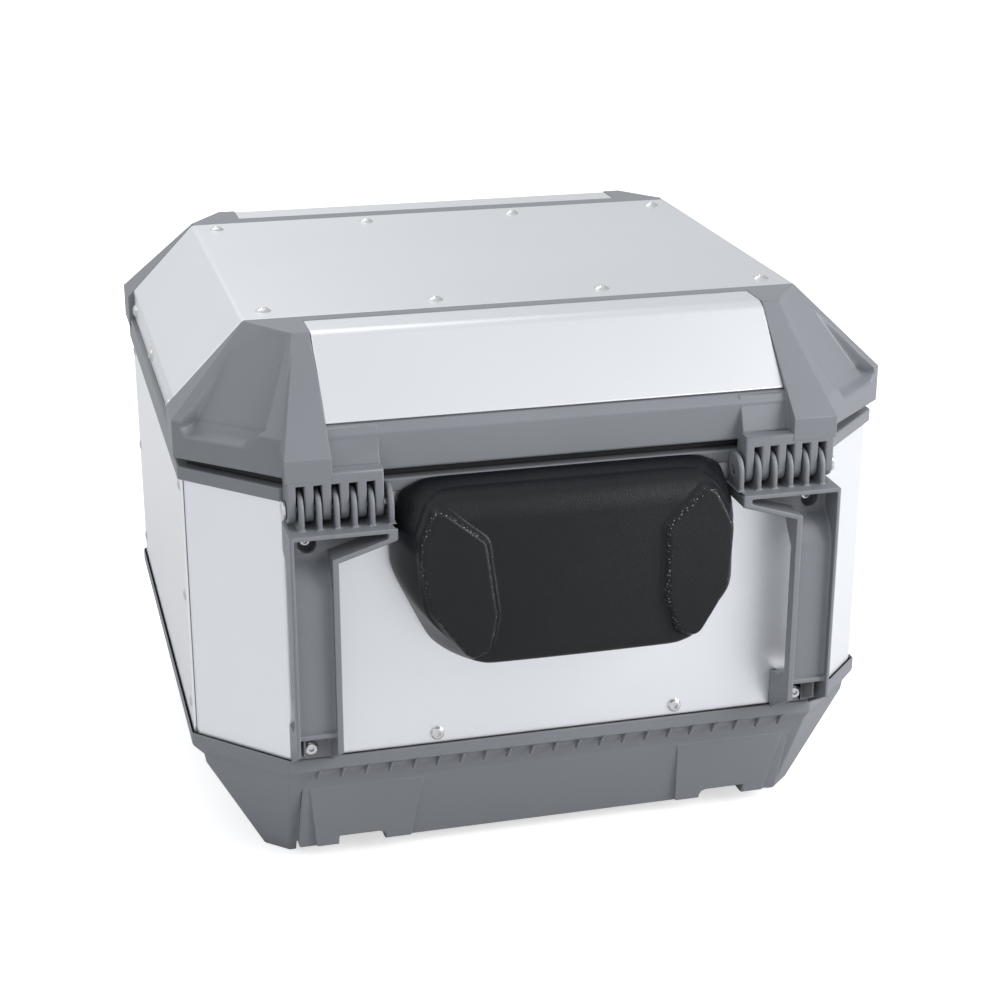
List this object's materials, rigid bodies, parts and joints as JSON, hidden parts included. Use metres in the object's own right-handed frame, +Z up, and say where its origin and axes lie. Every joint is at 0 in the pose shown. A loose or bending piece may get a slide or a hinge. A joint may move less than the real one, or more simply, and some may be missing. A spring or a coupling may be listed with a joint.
{
  "type": "motorcycle hard case",
  "caption": "Octagonal hard motorcycle case with folded sheet walls, moulded corners, a front-hinged lid and a passenger backrest pad.",
  "frame": {"origin": "middle of the base plate's underside, which lies on the rack", "axes": "+Z up; -Y towards the rider, on the hinge and pad side; +X to the right in a view along +Y"},
  "size_m": [0.453, 0.5035, 0.3481],
  "materials": {
    "grey_plastic": "fine-grained mid grey moulding",
    "black_plastic": "plain black moulding",
    "red_plastic": "satin",
    "wall_sheet": "satin anodised, brushed level",
    "side_sheet": "satin anodised, brushed level",
    "lid_metal": "satin anodised",
    "rivet_metal": "bright",
    "steel": "zinc plated",
    "seal_rubber": "matt",
    "foam": "closed-cell foam sheet",
    "pad_cover": "fine-grained black synthetic leather over foam"
  },
  "bodies": {
    "case_body": {"base_tray": "grey_plastic", "base_plate": "black_plastic", "front_wall": "wall_sheet", "rear_wall": "wall_sheet", "left_wall": "side_sheet", "right_wall": "side_sheet", "body_rim": "grey_plastic", "floor_mat": "foam", "pad_backing_plate": "black_plastic", "backrest_pad": "pad_cover", "left_hinge_bracket": "grey_plastic", "right_hinge_bracket": "grey_plastic", "left_hinge_pin": "steel", "right_hinge_pin": "steel", "left_upper_screw": "steel", "left_lower_screw": "steel", "left_wall_screw": "steel", "right_upper_screw": "steel", "right_lower_screw": "steel", "right_wall_screw": "steel", "lock_housing": "grey_plastic", "latch_pin": "steel"},
    "lid": {"lid_frame": "grey_plastic", "lid_seal": "seal_rubber", "lid_front_cap": "grey_plastic", "lid_rear_cap": "grey_plastic", "lid_sheet": "lid_metal", "lid_front_insert": "lid_metal", "lid_rear_insert": "lid_metal", "lid_strike": "steel", "lid_rivet_1": "rivet_metal", "lid_rivet_2": "rivet_metal", "lid_rivet_3": "rivet_metal", "lid_rivet_4": "rivet_metal", "lid_rivet_5": "rivet_metal", "lid_rivet_6": "rivet_metal", "lid_rivet_7": "rivet_metal", "lid_rivet_8": "rivet_metal"},
    "latch": {"latch_lever": "grey_plastic", "latch_claw": "steel"},
    "key": {"key_barrel": "steel"},
    "button": {"release_button": "red_plastic"},
    "catch": {"release_catch": "steel"}
  },
  "joints": [
    {"name": "lid_hinge", "type": "hinge", "parent": "case_body", "child": "lid", "pos_m": [0, -0.221, 0.2555], "axis": [1, 0, 0], "range_deg": [0, 85]},
    {"name": "latch_hinge", "type": "hinge", "parent": "case_body", "child": "latch", "pos_m": [0, 0.2295, 0.218], "axis": [-1, 0, 0], "range_deg": [0, 60], "stiffness_Nm_per_rad": 0.15},
    {"name": "key_turn", "type": "hinge", "parent": "case_body", "child": "key", "pos_m": [0, 0.2229, 0.197], "axis": [0, 1, 0], "range_deg": [0, 90]},
    {"name": "button_press", "type": "slide", "parent": "case_body", "child": "button", "axis": [0, -1, 0], "range_m": [0, 0.004], "stiffness_N_per_m": 600},
    {"name": "catch_slide", "type": "slide", "parent": "case_body", "child": "catch", "axis": [0, -1, 0], "range_m": [0, 0.004]}
  ],
  "couplings": [
    {"joint": "catch_slide", "follows": "button_press", "ratio": 1}
  ]
}
